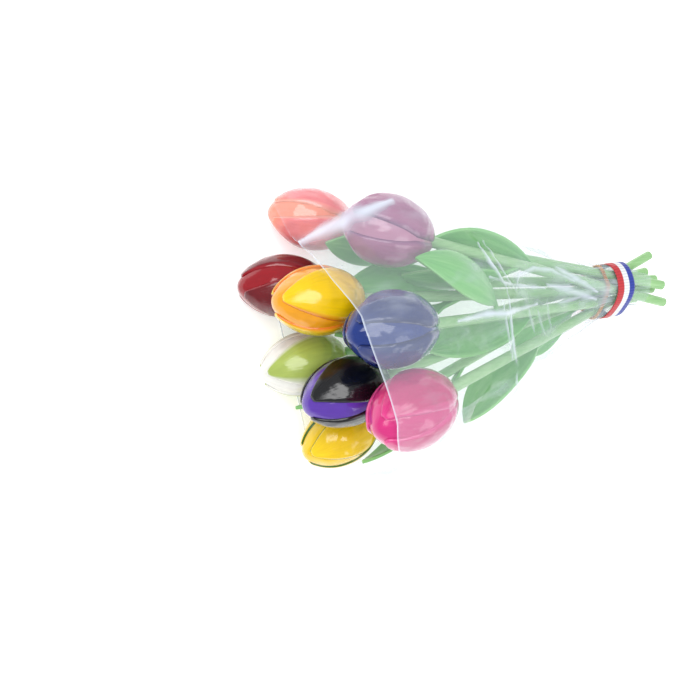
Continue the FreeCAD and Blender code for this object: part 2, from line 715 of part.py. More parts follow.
fill_sheet()
lines = stem_lines()
pieces = {}
for tulip in TULIPS:
    frame = stem_placement(tulip, lines[tulip])
    pieces[f"stem_{tulip}"] = stem(tulip)
    pieces[f"stem_{tulip}"].Placement = frame
    pieces[f"head_{tulip}"] = head(tulip)
    foot = Vector(0, 0, value(f"{tulip}_tail") + value(f"{tulip}_reach"))
    turned = Rotation(Vector(0, 0, 1), value(f"{tulip}_turn"))
    pieces[f"head_{tulip}"].Placement = frame * Placement(foot, turned)
for name, (tulip, *_) in LEAVES.items():
    pieces[name] = leaf(name)
    pieces[name].Placement = stem_placement(tulip, lines[tulip]) * leaf_seat(name)
doc.recompute()

stems = [edges(pieces[f"stem_{tulip}"].Shape) for tulip in TULIPS]
band_end = -value("band_setback")
band = belt(stems, band_end - value("band_width"), band_end, value("wrap_gap"), value("band_thickness"))
wrap = film([edges(piece.Shape) for piece in pieces.values()] + [edges(band)])
ribbon_half = value("ribbon_width") / 2
ribbon = belt([edges(wrap)], -ribbon_half, ribbon_half, value("wrap_gap"), value("ribbon_thickness"))
pieces["rubber_band"] = feature("rubber_band", band)
pieces["film_wrap"] = feature("film_wrap", wrap)
pieces["ribbon"] = feature("ribbon", ribbon)

# Move the bunch so that the origin is under its middle, on the table.
box = FreeCAD.BoundBox()
for piece in pieces.values():
    for point in piece.Shape.tessellate(value("film_thickness") / 2)[0]:
        box.add(lying() * point)
home = Placement(Vector(-box.Center.x, -box.Center.y, -box.ZMin), lying())
for name, piece in pieces.items():
    piece.Placement = home * piece.Placement
    piece.Label = name
doc.recompute()

for item in doc.Objects:
    if "Invalid" in item.State or "Error" in item.State:
        raise RuntimeError(f"{item.Name} did not build: {item.State}")
for name, piece in pieces.items():
    if piece.Shape.isNull() or not piece.Shape.isValid() or len(piece.Shape.Solids) != 1:
        raise RuntimeError(f"{name} is not one sound solid")
    piece.Shape.exportStep(f"parts/{name}.step")
print(f"{len(pieces)} pieces, {box.XLength:.1f} x {box.YLength:.1f} x {box.ZLength:.1f} mm")
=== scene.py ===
import bmesh
import bpy
import math
from collections import namedtuple
from mathutils import Matrix, Vector, noise
from mathutils.bvhtree import BVHTree


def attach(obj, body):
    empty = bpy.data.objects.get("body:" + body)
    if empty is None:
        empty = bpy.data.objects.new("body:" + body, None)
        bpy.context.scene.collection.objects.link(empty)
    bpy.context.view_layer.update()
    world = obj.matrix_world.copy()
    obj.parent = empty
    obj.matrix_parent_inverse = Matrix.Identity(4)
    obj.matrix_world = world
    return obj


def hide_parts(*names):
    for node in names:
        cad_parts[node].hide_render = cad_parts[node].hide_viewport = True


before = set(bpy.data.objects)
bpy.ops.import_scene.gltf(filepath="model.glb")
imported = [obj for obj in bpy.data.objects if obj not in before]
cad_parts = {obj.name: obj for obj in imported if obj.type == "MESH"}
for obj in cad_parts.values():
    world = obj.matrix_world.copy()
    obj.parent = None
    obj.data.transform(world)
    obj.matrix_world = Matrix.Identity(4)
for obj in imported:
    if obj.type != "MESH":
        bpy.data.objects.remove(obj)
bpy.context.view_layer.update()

# A bunch of nine painted wooden tulips, rolled in clear film and tied with a ribbon.
# Lengths are millimetres here and become metres when a mesh is finished. The bunch is laid out
# about the middle of its tie and then moved to where it lies on the table.

MM = 0.001
HEAD_LENGTH = 40.0
HEAD_WIDTH = 27.5
FOOT_RADIUS = 11.0
TIP_RADIUS = 6.5
PETAL_RISE = 0.8
PETAL_FOOT = 7.5
PETAL_HALF = 11.4
PETAL_LENGTH = 38.5
PETAL_GROOVE = math.radians(4.0)
PETAL_COUNT = 3
STEM_RADIUS = 2.2
LEAF_WIDTH = 19.0
LEAF_THICKNESS = 1.4
LEAF_CUP = 22.0
ROOT_WIDTH = 3.4
ROOT_LENGTH = 9.0
ROOT_DEPTH = 1.2
WIDEST_SHARE = 0.58
FILM_LENGTH = 158.0
FILM_SKIRT = 16.0
SPIRAL_LEVER = 27.5
RIBBON_WIDTH = 10.0

# How a raised petal is carved. It starts this far above the foot and ends this far short of its
# point, where it is a little wider than its outline.
PETAL_START = 0.3
PETAL_END_GAP = 1.0
TIP_FLARE = 0.5
# Its wall, how far its rim sinks beside the groove, the gouge's hollow down its middle, and how
# uneven the knife left it.
PETAL_WALL = 1.2 * PETAL_RISE
RIM_SINK = 1.15 * PETAL_RISE
GOUGE_DEPTH = 0.132
PETAL_UNEVEN = 0.14
# It grows blunt and sinks at its end from these shares of its length, and it is rounded over
# from this share of its half width.
BLUNT_FROM_SHARE = 0.88
END_FROM_SHARE = 0.93
RIM_FROM_SHARE = 0.80
# In radians, how far it leans round the head and how unlike its neighbours it may be.
PETAL_LEAN = 0.22
PETAL_WOBBLE = 0.10

# How far the film's mouth reaches at even steps round it, as shares of the film's length.
MOUTH_SHARES = (1.04, 1.02, 1.00, 0.97, 0.89, 0.98, 1.00, 1.02)
# The sheet keeps this far inside the CAD film.
FILM_GAP = 0.1
# Pleats are deepest here, beside the tie, and die out over this length.
PLEATS_AT = -4.0
PLEATS_REACH = 46.0
PLEAT_DEPTH = 2.4
DEEPEST_FOLD = 1.3
SAG_DEPTH = 0.3
# How far a crease stands up, and how wide the painted glint along the film's cut edge is.
CREASE_HEIGHT = 0.9
EDGE_WIDTH = 0.35
# Film lower than this lies under the bunch.
UNDERSIDE = -2.0
# The long fold beside the salmon head: where it starts, its slope and where it ends, and over
# which lengths the film turns clear past it.
FOLD_START = Vector((-163.0, 32.0))
FOLD_SLOPE = 0.31
FOLD_END = -112.0
CLEAR_BESIDE = 2.5
CLEAR_ALONG = 14.0

# Where the rubber band's middle is along the bunch, and how far its two turns lie to each side.
BAND_PLACE = -10.4
BAND_TURNS = (-0.5, 0.45)
CLOTH_THICKNESS = 0.35
# The floor lies this far under the bunch, so that the two never share a face.
FLOOR_GAP = 0.2

# The camera looks down on the bunch from its stem side, with the bunch's own axis sloping down
# to the left. The picture is this wide at the tie, which is at a pixel of its own.
CAMERA_STEEP = math.radians(65.0)
CAMERA_SLOPE = math.radians(9.0)
CAMERA_DISTANCE = 380.0
SENSOR_WIDTH = 36.0
PICTURE_WIDTH = 330.0
PICTURE_PIXELS = 700.0
PICTURE_MIDDLE = Vector((350.0, 350.0))
TIE_PIXEL = Vector((607.0, 290.0))

# Each tulip: where it points, in degrees sideways and up, how far its head's foot is from the
# tie, how far its stem runs on behind the tie, its head's size as a share, and its head's turn.
Tulip = namedtuple("Tulip", "yaw pitch reach tail share turn")
TULIPS = {
    "salmon": Tulip(15.5, -4.0, 132.0, 26.0, 0.90, 30.0),
    "lilac": Tulip(15.0, 9.5, 114.0, 33.0, 1.00, 10.0),
    "red": Tulip(5.5, -2.0, 142.5, 27.0, 0.93, 50.0),
    "orange": Tulip(4.0, 7.5, 140.0, 30.0, 0.95, -20.0),
    "white": Tulip(-5.5, -0.5, 138.5, 28.0, 0.93, -25.0),
    "blue": Tulip(0.5, 17.5, 127.5, 24.0, 1.02, 20.0),
    "black": Tulip(-8.5, 9.5, 136.0, 31.0, 0.96, 0.0),
    "magenta": Tulip(-10.5, 20.5, 130.5, 26.0, 1.02, 15.0),
    "yellow": Tulip(-17.0, 1.5, 134.0, 41.0, 0.90, -30.0),
}

# Each leaf: its stem, where it starts along that stem, its length, and in degrees its side of
# the stem, its lean, its bend and its twist.
Leaf = namedtuple("Leaf", "tulip start length side lean bend twist")
LEAVES = {
    "leaf_salmon": Leaf("salmon", 95.0, 53.0, -53.0, 31.0, 42.0, 0.0),
    "leaf_lilac": Leaf("lilac", 48.0, 63.0, 140.0, 12.0, 24.0, 0.0),
    "leaf_lilac_inner": Leaf("lilac", 64.0, 56.0, -105.0, 28.0, 39.0, 37.0),
    "leaf_red": Leaf("red", 78.0, 63.0, -11.0, 12.0, 6.0, 0.0),
    "leaf_orange": Leaf("orange", 92.0, 59.0, -118.0, 23.0, 24.0, 0.0),
    "leaf_white": Leaf("white", 95.0, 72.0, -95.0, 28.0, 36.0, 0.0),
    "leaf_blue": Leaf("blue", 87.0, 53.0, 51.0, 44.0, 67.0, -42.0),
    "leaf_blue_inner": Leaf("blue", 54.0, 61.0, -147.0, 19.0, 5.0, 0.0),
    "leaf_black": Leaf("black", 12.0, 48.0, -143.0, 20.0, 13.0, -47.0),
    "leaf_magenta": Leaf("magenta", 52.0, 57.0, -142.0, 21.0, -20.0, 27.0),
    "leaf_yellow": Leaf("yellow", 86.0, 65.0, -89.0, 29.0, 39.0, 0.0),
}

# Colours of the outer petals, the inner petals' one colour, then a painted outline and how wide
# the coloured rim is, as a share of the petal's width.
Paint = namedtuple("Paint", "body edge tip foot inner outline rim_share", defaults=(None, 0.10))
PAINTS = {
    "salmon": Paint("F4888C", "F8B4A2", "FA9674", "EE8494", "F7A08A"),
    "lilac": Paint("A8688C", "86527A", "9C6088", "B07098", "BC809E"),
    "red": Paint("720618", "9A0C1E", "620414", "560412", "980A1C"),
    "orange": Paint("F8CC06", "EE7A1E", "FAD40C", "ECB404", "F2A416"),
    "white": Paint("B0C464", "F2F2EC", "A6BC58", "98B048", "EFEFE8", rim_share=0.19),
    "blue": Paint("10286C", "0C1C54", "143078", "0E2260", "16327E"),
    "black": Paint("0A0C12", "101218", "0A0C12", "0A0C12", "5A35A8"),
    "magenta": Paint("CC1A70", "E45296", "E23E8C", "B41462", "D42E7E"),
    "yellow": Paint("F8D012", "F6D430", "F8D820", "E8B80A", "F4CC18", outline="3E6A18"),
}

# How the finished bunch lies: turned a little, then moved so that the origin is under it.
LYING = Matrix.Rotation(math.radians(-0.75), 4, "X") @ Matrix.Rotation(math.radians(0.42), 4, "Y")
HOME = Matrix.Translation(Vector((69.108, 3.418, 16.333))) @ LYING

# Sockets of a node that mixes colours: its share and two colours, and the colour that it gives.
SHARE, FIRST, SECOND, MIXED = 0, 6, 7, 2


# Colours and nodes.
def colour(code):
    """An sRGB hex value as Blender's linear colour."""
    parts = [int(code[place:place + 2], 16) / 255 for place in (0, 2, 4)]
    linear = [part / 12.92 if part <= 0.04045 else ((part + 0.055) / 1.055) ** 2.4 for part in parts]
    return (*linear, 1.0)


def grey(share):
    """A linear grey, black at 0 and white at 1."""
    return (share, share, share, 1.0)


def feed(tree, made, inputs):
    """Give a node's inputs, by name or number, a value each or a socket to link from."""
    for name, source in inputs.items():
        if isinstance(source, bpy.types.NodeSocket):
            tree.links.new(source, made.inputs[name])
        else:
            made.inputs[name].default_value = source


def node(tree, kind, inputs=None, stops=(), **settings):
    """Add a node with its settings, its inputs and, for a colour ramp, its places and colours."""
    made = tree.nodes.new(kind)
    for name, setting in settings.items():
        setattr(made, name, setting)
    feed(tree, made, inputs or {})
    if stops:
        elements = made.color_ramp.elements
        while len(elements) < len(stops):
            elements.new(0.5)
        for element, (place, shade) in zip(elements, stops):
            element.position = place
            element.color = shade
    return made


def new_material(name):
    """A material with its Principled shader, ready for its nodes."""
    material = bpy.data.materials.new(name)
    material.use_nodes = True
    tree = material.node_tree
    return material, tree, tree.nodes["Principled BSDF"]


def petal_lacquer(name, body, edge, tip, foot, outline=None, rim_share=0.10):
    """Gloss lacquer on carved lime wood, laid on by brush: the colour runs from foot to tip, the
    petal's rim has its own colour, strokes run lengthwise, and the ground that the knife left
    breaks up the highlights. UV runs across the petal in U and from foot to tip in V."""
    material, tree, shader = new_material(name)
    place = node(tree, "ShaderNodeUVMap", uv_map="petal").outputs["UV"]
    parts = node(tree, "ShaderNodeSeparateXYZ", {"Vector": place})
    solid = node(tree, "ShaderNodeTexCoord").outputs["Object"]
    # strokes of the brush are about 1 mm wide and 12 mm long
    strokes = node(tree, "ShaderNodeMapping", {"Vector": place, "Scale": (26.0, 3.0, 1.0)})
    brush = node(tree, "ShaderNodeTexNoise", {
        "Vector": strokes.outputs["Vector"], "Scale": 1.0, "Detail": 3.0,
    }).outputs[0]
    # patches where the paint lies thicker, about 8 mm across
    patches = node(tree, "ShaderNodeTexNoise", {"Vector": solid, "Scale": 120.0, "Detail": 2.0}).outputs[0]

    # the colour along the petal, its border wavering with the brush
    waver = node(tree, "ShaderNodeMath", {0: brush, 1: 0.16, 2: -0.08}, operation="MULTIPLY_ADD").outputs[0]
    height = node(tree, "ShaderNodeMath", {0: parts.outputs["Y"], 1: waver}, operation="ADD").outputs[0]
    base = node(tree, "ShaderNodeValToRGB", {"Fac": height}, stops=(
        (0.0, colour(foot)), (0.30, colour(body)), (0.72, colour(body)), (0.98, colour(tip)),
    )).outputs["Color"]

    # the rim's colour on both sides, out from the petal's middle line
    offset = node(tree, "ShaderNodeMath", {0: parts.outputs["X"], 1: 0.5}, operation="SUBTRACT").outputs[0]
    far = node(tree, "ShaderNodeMath", {0: offset}, operation="ABSOLUTE").outputs[0]
    rim = node(tree, "ShaderNodeMath", {0: waver, 1: 0.30, 2: far}, operation="MULTIPLY_ADD").outputs[0]
    on_rim = node(tree, "ShaderNodeValToRGB", {"Fac": rim}, stops=(
        (0.5 - rim_share, grey(0.0)), (0.5 - 0.15 * rim_share, grey(1.0)),
    )).outputs["Color"]
    base = node(
        tree, "ShaderNodeMix", {SHARE: on_rim, FIRST: base, SECOND: colour(edge)}, data_type="RGBA"
    ).outputs[MIXED]
    if outline:
        # a painted outline, 1 mm wide, along the rim of the petal
        on_line = node(tree, "ShaderNodeValToRGB", {"Fac": far}, stops=(
            (0.438, grey(0.0)), (0.452, grey(1.0)), (0.50, grey(1.0)),
        )).outputs["Color"]
        base = node(
            tree, "ShaderNodeMix", {SHARE: on_line, FIRST: base, SECOND: colour(outline)}, data_type="RGBA"
        ).outputs[MIXED]

    # thin and thick paint
    for source, share, stops in (
        (brush, 0.55, ((0.30, grey(0.80)), (0.62, grey(1.0)))),
        (patches, 0.7, ((0.35, grey(0.90)), (0.70, grey(1.0)))),
    ):
        shade = node(tree, "ShaderNodeValToRGB", {"Fac": source}, stops=stops).outputs["Color"]
        base = node(
            tree, "ShaderNodeMix", {SHARE: share, FIRST: base, SECOND: shade},
            data_type="RGBA", blend_type="MULTIPLY",
        ).outputs[MIXED]
    rough = node(tree, "ShaderNodeValToRGB", {"Fac": patches}, stops=((0.3, grey(0.24)), (0.7, grey(0.36))))

    low = node(tree, "ShaderNodeBump", {"Height": brush, "Strength": 0.20, "Distance": 0.0006})
    # the uneven ground that the knife left, in waves about 9 mm long
    ground = node(tree, "ShaderNodeTexNoise", {
        "Vector": solid, "Scale": 110.0, "Detail": 1.0, "Distortion": 0.4,
    })
    knife = node(tree, "ShaderNodeBump", {
        "Height": ground.outputs[0], "Normal": low.outputs["Normal"], "Strength": 0.7, "Distance": 0.0022,
    }).outputs["Normal"]
    feed(tree, shader, {
        "Base Color": base,
        "Roughness": rough.outputs["Color"],
        # the clear coat gives the gloss, so the colour under it keeps its depth
        "Specular IOR Level": 0.12,
        "Coat Weight": 1.0,
        "Coat Roughness": 0.05,
        "Normal": knife,
        "Coat Normal": knife,
    })
    return material


def leaf_paint(name, body, light, dark):
    """Satin acrylic paint on thin carved wood: strokes along the leaf, and a painted highlight that
    lightens its rim. UV runs across the leaf in U and along it in V."""
    material, tree, shader = new_material(name)
    place = node(tree, "ShaderNodeUVMap", uv_map="leaf").outputs["UV"]
    parts = node(tree, "ShaderNodeSeparateXYZ", {"Vector": place})
    # strokes of the brush are about 3 mm wide and 35 mm long
    strokes = node(tree, "ShaderNodeMapping", {"Vector": place, "Scale": (7.0, 1.6, 1.0)})
    brush = node(tree, "ShaderNodeTexNoise", {
        "Vector": strokes.outputs["Vector"], "Scale": 1.0, "Detail": 4.0, "Roughness": 0.6,
    }).outputs[0]
    base = node(tree, "ShaderNodeValToRGB", {"Fac": brush}, stops=(
        (0.22, colour(dark)), (0.50, colour(body)), (0.80, colour(light)),
    )).outputs["Color"]
    # the rim is lightened towards the light green, a painted highlight along both edges
    offset = node(tree, "ShaderNodeMath", {0: parts.outputs["X"], 1: 0.5}, operation="SUBTRACT").outputs[0]
    far = node(tree, "ShaderNodeMath", {0: offset}, operation="ABSOLUTE").outputs[0]
    on_rim = node(
        tree, "ShaderNodeValToRGB", {"Fac": far}, stops=((0.43, grey(0.0)), (0.5, grey(0.55)))
    ).outputs["Color"]
    base = node(
        tree, "ShaderNodeMix", {SHARE: on_rim, FIRST: base, SECOND: colour(light)}, data_type="RGBA"
    ).outputs[MIXED]
    grain = node(tree, "ShaderNodeBump", {"Height": brush, "Strength": 0.30, "Distance": 0.0004})
    feed(tree, shader, {
        "Base Color": base,
        "Roughness": 0.38,
        "Coat Weight": 0.35,
        "Coat Roughness": 0.22,
        "Normal": grain.outputs["Normal"],
    })
    return material


def dowel_paint(name, body, light, dark):
    """The same green, thinned, on a beech dowel, whose grain shows along the stem."""
    material, tree, shader = new_material(name)
    solid = node(tree, "ShaderNodeTexCoord").outputs["Object"]
    # grain about 1 mm wide and 25 mm long
    along = node(tree, "ShaderNodeMapping", {"Vector": solid, "Scale": (40.0, 900.0, 900.0)})
    grain = node(tree, "ShaderNodeTexNoise", {
        "Vector": along.outputs["Vector"], "Scale": 1.0, "Detail": 3.0,
    }).outputs[0]
    base = node(tree, "ShaderNodeValToRGB", {"Fac": grain}, stops=(
        (0.30, colour(dark)), (0.52, colour(body)), (0.75, colour(light)),
    ))
    bump = node(tree, "ShaderNodeBump", {"Height": grain, "Strength": 0.25, "Distance": 0.0003})
    feed(tree, shader, {
        "Base Color": base.outputs["Color"],
        "Roughness": 0.42,
        "Coat Weight": 0.25,
        "Coat Roughness": 0.25,
        "Normal": bump.outputs["Normal"],
    })
    return material


def clear_film(name):
    """Cast polypropylene film: clear, glossy and a little hazy. A vertex attribute whitens it: partly
    its own whitening where it is folded, partly painted glints along its creases, pleats and cut
    edge and painted broad glare. Painted streak highlights run along its wrinkles."""
    material, tree, shader = new_material(name)
    # whitening read from the mesh: partly the film's own fold whitening, partly painted glints along creases,
    # pleats and the cut edge, and painted broad glare
    whitening_and_glare = node(tree, "ShaderNodeAttribute", attribute_name="whitening_and_painted_glare")
    solid = node(tree, "ShaderNodeTexCoord").outputs["Object"]
    # soft wrinkles about 12 mm apart, drawn out along the bunch
    place = node(tree, "ShaderNodeMapping", {"Vector": solid, "Scale": (22.0, 85.0, 85.0)})
    wrinkles = node(tree, "ShaderNodeTexNoise", {
        "Vector": place.outputs["Vector"], "Scale": 1.0, "Detail": 4.0, "Roughness": 0.55,
    }).outputs[0]
    # whiter streaks on the wrinkles' crests: painted highlights
    painted_streak_highlight = node(tree, "ShaderNodeValToRGB", {"Fac": wrinkles}, stops=(
        (0.56, grey(0.0)), (0.74, grey(1.0)),
    )).outputs["Color"]
    # the film's own haze everywhere, plus the painted streak highlights
    haze_and_streak_highlight = node(tree, "ShaderNodeMath", {0: painted_streak_highlight, 1: 0.17, 2: 0.17}, operation="MULTIPLY_ADD").outputs[0]
    alpha = node(
        tree, "ShaderNodeMath", {0: whitening_and_glare.outputs["Fac"], 1: 0.75, 2: haze_and_streak_highlight},
        operation="MULTIPLY_ADD", use_clamp=True,
    )
    bump = node(tree, "ShaderNodeBump", {"Height": wrinkles, "Strength": 0.6, "Distance": 0.0014})
    feed(tree, shader, {
        "Base Color": colour("E2ECFA"),
        "Roughness": 0.12,
        "IOR": 1.49,
        "Specular IOR Level": 0.6,
        "Alpha": alpha.outputs[0],
        "Normal": bump.outputs["Normal"],
    })
    return material


def woven_ribbon(name):
    """Rayon grosgrain ribbon, woven in three stripes: fine ribs across it and a soft sheen. UV
    runs across the ribbon in U and along it in V."""
    material, tree, shader = new_material(name)
    place = node(tree, "ShaderNodeUVMap", uv_map="cloth").outputs["UV"]
    parts = node(tree, "ShaderNodeSeparateXYZ", {"Vector": place})
    red, white, blue = colour("C8323C"), colour("EEF2F6"), colour("2A3EA8")
    stripes = node(tree, "ShaderNodeValToRGB", {"Fac": parts.outputs["X"]}, stops=(
        (0.0, red), (0.335, red), (0.350, white), (0.655, white), (0.670, blue), (1.0, blue),
    ))
    # ribs about 1.2 mm apart; real ones are finer and wouldn't show
    ribs = node(
        tree, "ShaderNodeTexWave", {"Vector": place, "Scale": 20.0, "Distortion": 0.3}, bands_direction="Y"
    ).outputs["Fac"]
    # the grooves between the ribs are darkened over the stripes: painted shade; the bump gives the ribs their
    # relief
    painted_rib_shade = node(tree, "ShaderNodeValToRGB", {"Fac": ribs}, stops=((0.0, grey(0.78)), (0.6, grey(1.0))))
    base = node(
        tree, "ShaderNodeMix",
        {SHARE: 1.0, FIRST: stripes.outputs["Color"], SECOND: painted_rib_shade.outputs["Color"]},
        data_type="RGBA", blend_type="MULTIPLY",
    )
    bump = node(tree, "ShaderNodeBump", {"Height": ribs, "Strength": 0.5, "Distance": 0.0002})
    feed(tree, shader, {
        "Base Color": base.outputs[MIXED],
        "Roughness": 0.55,
        "Sheen Weight": 0.35,
        "Sheen Roughness": 0.4,
        "Normal": bump.outputs["Normal"],
    })
    return material


def rubber(name):
    """Natural rubber: amber, a little dusty."""
    material, tree, shader = new_material(name)
    solid = node(tree, "ShaderNodeTexCoord").outputs["Object"]
    # specks of dust about 1 mm across
    dust = node(tree, "ShaderNodeTexNoise", {"Vector": solid, "Scale": 900.0, "Detail": 2.0}).outputs[0]
    base = node(
        tree, "ShaderNodeValToRGB", {"Fac": dust}, stops=((0.35, colour("B4702C")), (0.65, colour("D09A55")))
    )
    bump = node(tree, "ShaderNodeBump", {"Height": dust, "Strength": 0.2, "Distance": 0.0001})
    feed(tree, shader, {
        "Base Color": base.outputs["Color"],
        "Roughness": 0.55,
        "Subsurface Weight": 0.1,
        "Normal": bump.outputs["Normal"],
    })
    return material


# Shapes.
def finish_mesh(name, shape, materials):
    """Turn a bmesh in its final place, in millimetres, into an object at the origin in metres."""
    bmesh.ops.transform(shape, matrix=Matrix.Scale(MM, 4), verts=shape.verts)
    mesh = bpy.data.meshes.new(name)
    shape.to_mesh(mesh)
    shape.free()
    for material in materials:
        mesh.materials.append(material)
    for face in mesh.polygons:
        face.use_smooth = True
    made = bpy.data.objects.new(name, mesh)
    bpy.context.scene.collection.objects.link(made)
    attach(made, "root")
    return made


def eased(share):
    """A share from 0 to 1 that starts and ends slowly."""
    return (1 - math.cos(math.pi * share)) / 2


def solve(gap, low, high):
    """Where the rising function `gap` crosses zero."""
    halvings = 60
    for _ in range(halvings):
        middle = (low + high) / 2
        if gap(middle) < 0:
            low = middle
        else:
            high = middle
    return (low + high) / 2


def egg(share, inset):
    """The turned form of a head, an egg of three arcs: its radius at a height above the foot."""
    foot = FOOT_RADIUS * share - inset
    tip = TIP_RADIUS * share - inset
    length = HEAD_LENGTH * share - 2 * inset
    half = HEAD_WIDTH * share / 2 - inset
    between_ends = length - foot - tip
    flattest_side = 50 * half

    def rise(end_radius, side):
        return math.sqrt((half - end_radius) * (2 * side - end_radius - half))

    side = solve(lambda radius: rise(foot, radius) + rise(tip, radius) - between_ends, half, flattest_side)
    middle = foot + rise(foot, side)
    foot_end = foot + foot * math.sin(math.atan2(foot - middle, side - half))
    tip_start = length - tip + tip * math.sin(math.atan2(length - tip - middle, side - half))

    def radius(height):
        place = min(max(height - inset, 0.0), length)
        if place < foot_end:
            return math.sqrt(max(0.0, foot ** 2 - (foot - place) ** 2))
        if place > tip_start:
            return math.sqrt(max(0.0, tip ** 2 - (place - length + tip) ** 2))
        return half - side + math.sqrt(side ** 2 - (place - middle) ** 2)

    return radius


def petal_width(share):
    """The pointed oval of a petal: its half width at a height."""
    foot = PETAL_FOOT * share
    half = PETAL_HALF * share
    length = PETAL_LENGTH * share

    def arc_radius(x, rise):
        return ((half - x) ** 2 + rise ** 2) / (2 * (half - x))

    middle = solve(lambda height: arc_radius(foot, height) - arc_radius(0, length - height), 0, length)
    side = arc_radius(foot, middle)
    return lambda height: max(0.0, half - side + math.sqrt(side ** 2 - (height - middle) ** 2))


def grid(shape, columns, rows, wrap, layer):
    """Add a grid whose corner (0, 0) to (1, 1) goes through `wrap`, with its UV in `layer`, and
    give its faces."""
    made = bmesh.ops.create_grid(shape, x_segments=columns, y_segments=rows, size=0.5)
    spots = {vert: (vert.co.x + 0.5, vert.co.y + 0.5) for vert in made["verts"]}
    faces = list(dict.fromkeys(face for vert in spots for face in vert.link_faces))
    uv = shape.loops.layers.uv.get(layer) or shape.loops.layers.uv.new(layer)
    for face in faces:
        for loop in face.loops:
            loop[uv].uv = spots[loop.vert]
    for vert, spot in spots.items():
        vert.co = wrap(*spot)
    return faces


def head(tulip, place, outer_paint, inner_paint):
    """A carved head: the inner petals show between three raised outer ones, whose rims are
    rounded over into the groove and whose points are blunt."""
    share = TULIPS[tulip].share
    skin = egg(share, 0.0)
    core = egg(share, PETAL_RISE)
    width = petal_width(share)
    length = HEAD_LENGTH * share
    petal_end = PETAL_LENGTH * share - PETAL_END_GAP
    sector = 2 * math.pi / PETAL_COUNT
    widest = (sector - PETAL_GROOVE) / 2
    seed = sum(ord(letter) for letter in tulip)
    shape = bmesh.new()

    def inner(u, v):
        height = PETAL_RISE + (length - 2 * PETAL_RISE) * eased(v)
        angle = 2 * math.pi * u
        return Vector((core(height) * math.cos(angle), core(height) * math.sin(angle), height))

    for face in grid(shape, 72, 40, inner, "petal"):
        face.material_index = 1

    for index in range(PETAL_COUNT):
        middle = sector * index - math.pi / 2
        wobble = noise.noise(Vector((seed, index, 0.5))) * PETAL_WOBBLE

        def outer(u, v):
            height = PETAL_START + (petal_end - PETAL_START) * eased(v)
            up = height / length
            aside = 2 * u - 1
            blunt = math.sqrt(1 - 0.7 * max(0.0, (v - BLUNT_FROM_SHARE) / (1 - BLUNT_FROM_SHARE)) ** 2)
            reach = (width(height) + TIP_FLARE * up ** 6) * blunt / max(skin(height), 0.5)
            half_angle = max(PETAL_GROOVE / 2, min(widest, math.asin(min(1.0, reach))))
            lean = PETAL_LEAN * math.sin(math.pi * up) * (1 - abs(aside))
            angle = middle + half_angle * aside + lean + wobble * up ** 2
            rim = max(0.0, (abs(aside) - RIM_FROM_SHARE) / (1 - RIM_FROM_SHARE))
            end = max(0.0, (v - END_FROM_SHARE) / (1 - END_FROM_SHARE))
            sink = RIM_SINK * max(rim ** 2, end ** 3)
            hollow = GOUGE_DEPTH * math.cos(math.pi * aside / 2) ** 2 * math.sin(math.pi * min(1.0, up))
            uneven = PETAL_UNEVEN * noise.noise(Vector((angle * 2.2, height * 0.12, seed)))
            radius = max(0.05, skin(height) - sink - hollow + uneven)
            return Vector((radius * math.cos(angle), radius * math.sin(angle), height))

        faces = grid(shape, 32, 44, outer, "petal")
        bmesh.ops.recalc_face_normals(shape, faces=faces)
        largest = max(faces, key=lambda face: face.calc_area())
        if largest.normal.dot(largest.calc_center_median() - Vector((0, 0, length / 2))) < 0:
            bmesh.ops.reverse_faces(shape, faces=faces)
        # the petal's back lies inside the core, so the petal is a closed form
        bmesh.ops.solidify(shape, geom=faces, thickness=PETAL_WALL)
    bmesh.ops.remove_doubles(shape, verts=shape.verts, dist=0.002)
    bmesh.ops.recalc_face_normals(shape, faces=shape.faces)
    bmesh.ops.transform(shape, matrix=place, verts=shape.verts)
    made = finish_mesh(f"head_{tulip}_carved", shape, [outer_paint, inner_paint])
    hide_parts(f"head_{tulip}")


def leaf(name, place, paint):
    """A leaf cut from a bent, hollowed blank: a straight root, then a paddle with a point."""
    length = LEAVES[name].length
    angle_span = math.radians(abs(LEAVES[name].bend))
    way = 1 if LEAVES[name].bend > 0 else -1
    turn = (length - ROOT_LENGTH) / angle_span
    reach = turn * math.sin(angle_span)
    widest = ROOT_LENGTH + WIDEST_SHARE * reach
    point = ROOT_LENGTH + reach
    half = LEAF_WIDTH / 2
    root = ROOT_WIDTH / 2
    lower = ((widest - ROOT_LENGTH) ** 2 + (half - root) ** 2) / (2 * (half - root))
    upper = (point - widest) ** 2 / (2 * half) + half / 2
    # this share of its rows of faces is spaced evenly, and the rest crowds at both ends
    even_share = 0.15
    # its point isn't quite sharp
    point_half = 0.15

    def half_width(x):
        if x < ROOT_LENGTH:
            return root
        if x < widest:
            return half - lower + math.sqrt(lower ** 2 - (widest - x) ** 2)
        return max(point_half, half - upper + math.sqrt(max(0.0, upper ** 2 - (x - widest) ** 2)))

    def surface(u, v):
        distance = length * (even_share * v + (1 - even_share) * eased(v))
        start = min(distance, ROOT_LENGTH)
        angle = (distance - start) / turn
        y = half_width(start + turn * math.sin(angle)) * (2 * u - 1)
        drop = math.sqrt(LEAF_CUP ** 2 - y ** 2) - LEAF_CUP
        arm = turn + way * drop
        return Vector((start + arm * math.sin(angle), y, way * (arm * math.cos(angle) - turn)))

    shape = bmesh.new()
    grid(shape, 14, 44, surface, "leaf")
    bmesh.ops.recalc_face_normals(shape, faces=shape.faces)
    bmesh.ops.transform(shape, matrix=place, verts=shape.verts)
    made = finish_mesh(f"{name}_carved", shape, [paint])
    wall = made.modifiers.new("thickness", "SOLIDIFY")
    wall.thickness = LEAF_THICKNESS * MM
    wall.offset = 0.0
    round_over = made.modifiers.new("rounded edge", "SUBSURF")
    round_over.levels = 1
    round_over.render_levels = 1
    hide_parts(name)


